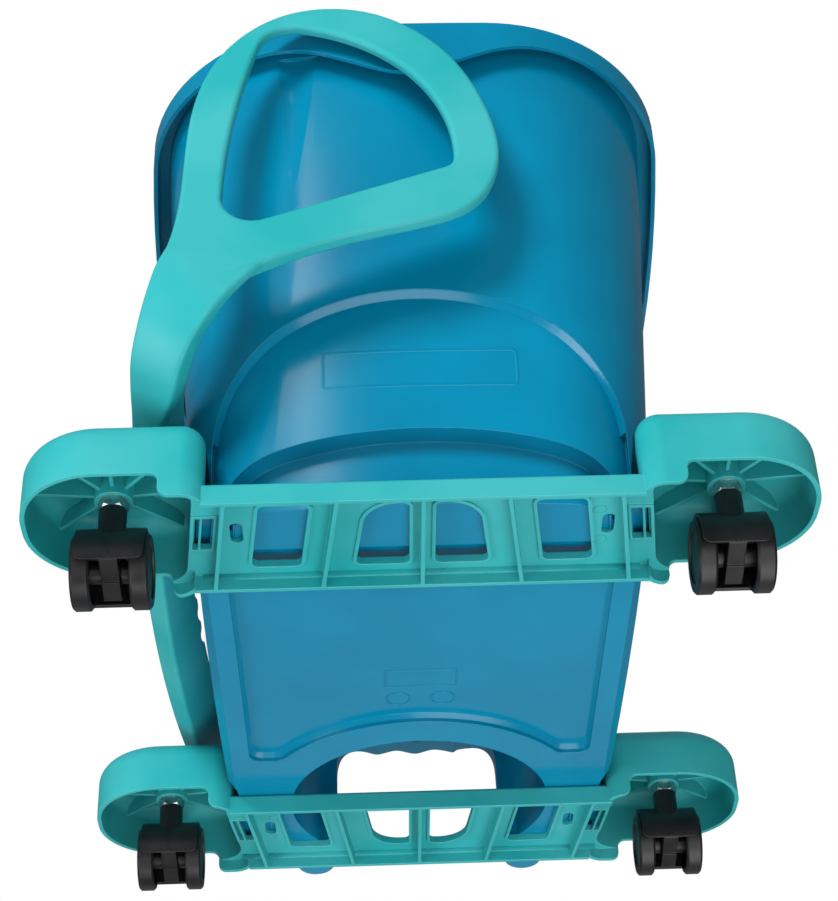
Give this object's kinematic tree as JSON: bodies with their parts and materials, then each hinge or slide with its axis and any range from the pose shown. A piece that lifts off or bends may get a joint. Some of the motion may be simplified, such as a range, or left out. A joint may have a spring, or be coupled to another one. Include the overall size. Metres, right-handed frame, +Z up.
{
  "type": "bucket dolly",
  "caption": "Flared plastic mop bucket clipped on moulded axle carriers that roll on swivel casters, with a bail handle that swings over the rim.",
  "frame": {"origin": "on the floor, under the middle of the bucket and half way between the four casters", "axes": "+X to the right and +Y to the rear as seen from the pouring end, +Z up; the handle swings about Y"},
  "size_m": [0.407, 0.5124, 0.3276],
  "materials": {
    "bucket_plastic": "moulded blue polypropylene, semi-gloss",
    "carrier_plastic": "moulded turquoise polypropylene, semi-gloss",
    "handle_plastic": "moulded turquoise polypropylene, semi-gloss",
    "caster_plastic": "moulded black nylon, satin",
    "wheel_plastic": "moulded black nylon, satin",
    "stem_steel": "turned, bright zinc plated",
    "insert_brass": "turned"
  },
  "bodies": {
    "bucket_frame": {"bucket_shell": "bucket_plastic", "front_axle_carrier": "carrier_plastic", "rear_axle_carrier": "carrier_plastic", "front_left_caster_insert": "insert_brass", "front_left_caster_stem": "stem_steel", "front_left_caster_retaining_ring": "stem_steel", "front_right_caster_insert": "insert_brass", "front_right_caster_stem": "stem_steel", "front_right_caster_retaining_ring": "stem_steel", "rear_left_caster_insert": "insert_brass", "rear_left_caster_stem": "stem_steel", "rear_left_caster_retaining_ring": "stem_steel", "rear_right_caster_insert": "insert_brass", "rear_right_caster_stem": "stem_steel", "rear_right_caster_retaining_ring": "stem_steel"},
    "handle": {"bail_handle": "handle_plastic"},
    "front_left_caster": {"front_left_caster_body": "caster_plastic", "front_left_caster_axle": "stem_steel"},
    "front_left_left_wheel": {"front_left_caster_left_wheel": "wheel_plastic"},
    "front_left_right_wheel": {"front_left_caster_right_wheel": "wheel_plastic"},
    "front_right_caster": {"front_right_caster_body": "caster_plastic", "front_right_caster_axle": "stem_steel"},
    "front_right_left_wheel": {"front_right_caster_left_wheel": "wheel_plastic"},
    "front_right_right_wheel": {"front_right_caster_right_wheel": "wheel_plastic"},
    "rear_left_caster": {"rear_left_caster_body": "caster_plastic", "rear_left_caster_axle": "stem_steel"},
    "rear_left_left_wheel": {"rear_left_caster_left_wheel": "wheel_plastic"},
    "rear_left_right_wheel": {"rear_left_caster_right_wheel": "wheel_plastic"},
    "rear_right_caster": {"rear_right_caster_body": "caster_plastic", "rear_right_caster_axle": "stem_steel"},
    "rear_right_left_wheel": {"rear_right_caster_left_wheel": "wheel_plastic"},
    "rear_right_right_wheel": {"rear_right_caster_right_wheel": "wheel_plastic"}
  },
  "joints": [
    {"name": "handle_swing", "type": "hinge", "parent": "bucket_frame", "child": "handle", "pos_m": [0, 0, 0.302], "axis": [0, 1, 0], "range_deg": [0, 292]},
    {"name": "front_left_swivel", "type": "hinge", "parent": "bucket_frame", "child": "front_left_caster", "pos_m": [-0.1575, -0.1633, 0.054], "axis": [0, 0, 1], "continuous": true},
    {"name": "front_left_left_wheel_spin", "type": "hinge", "parent": "front_left_caster", "child": "front_left_left_wheel", "pos_m": [-0.1575, -0.1513, 0.0195], "axis": [1, 0, 0], "continuous": true},
    {"name": "front_left_right_wheel_spin", "type": "hinge", "parent": "front_left_caster", "child": "front_left_right_wheel", "pos_m": [-0.1575, -0.1513, 0.0195], "axis": [1, 0, 0], "continuous": true},
    {"name": "front_right_swivel", "type": "hinge", "parent": "bucket_frame", "child": "front_right_caster", "pos_m": [0.1575, -0.1633, 0.054], "axis": [0, 0, 1], "continuous": true},
    {"name": "front_right_left_wheel_spin", "type": "hinge", "parent": "front_right_caster", "child": "front_right_left_wheel", "pos_m": [0.1575, -0.1513, 0.0195], "axis": [1, 0, 0], "continuous": true},
    {"name": "front_right_right_wheel_spin", "type": "hinge", "parent": "front_right_caster", "child": "front_right_right_wheel", "pos_m": [0.1575, -0.1513, 0.0195], "axis": [1, 0, 0], "continuous": true},
    {"name": "rear_left_swivel", "type": "hinge", "parent": "bucket_frame", "child": "rear_left_caster", "pos_m": [-0.1575, 0.1633, 0.054], "axis": [0, 0, 1], "continuous": true},
    {"name": "rear_left_left_wheel_spin", "type": "hinge", "parent": "rear_left_caster", "child": "rear_left_left_wheel", "pos_m": [-0.1575, 0.1753, 0.0195], "axis": [1, 0, 0], "continuous": true},
    {"name": "rear_left_right_wheel_spin", "type": "hinge", "parent": "rear_left_caster", "child": "rear_left_right_wheel", "pos_m": [-0.1575, 0.1753, 0.0195], "axis": [1, 0, 0], "continuous": true},
    {"name": "rear_right_swivel", "type": "hinge", "parent": "bucket_frame", "child": "rear_right_caster", "pos_m": [0.1575, 0.1633, 0.054], "axis": [0, 0, 1], "continuous": true},
    {"name": "rear_right_left_wheel_spin", "type": "hinge", "parent": "rear_right_caster", "child": "rear_right_left_wheel", "pos_m": [0.1575, 0.1753, 0.0195], "axis": [1, 0, 0], "continuous": true},
    {"name": "rear_right_right_wheel_spin", "type": "hinge", "parent": "rear_right_caster", "child": "rear_right_right_wheel", "pos_m": [0.1575, 0.1753, 0.0195], "axis": [1, 0, 0], "continuous": true}
  ]
}
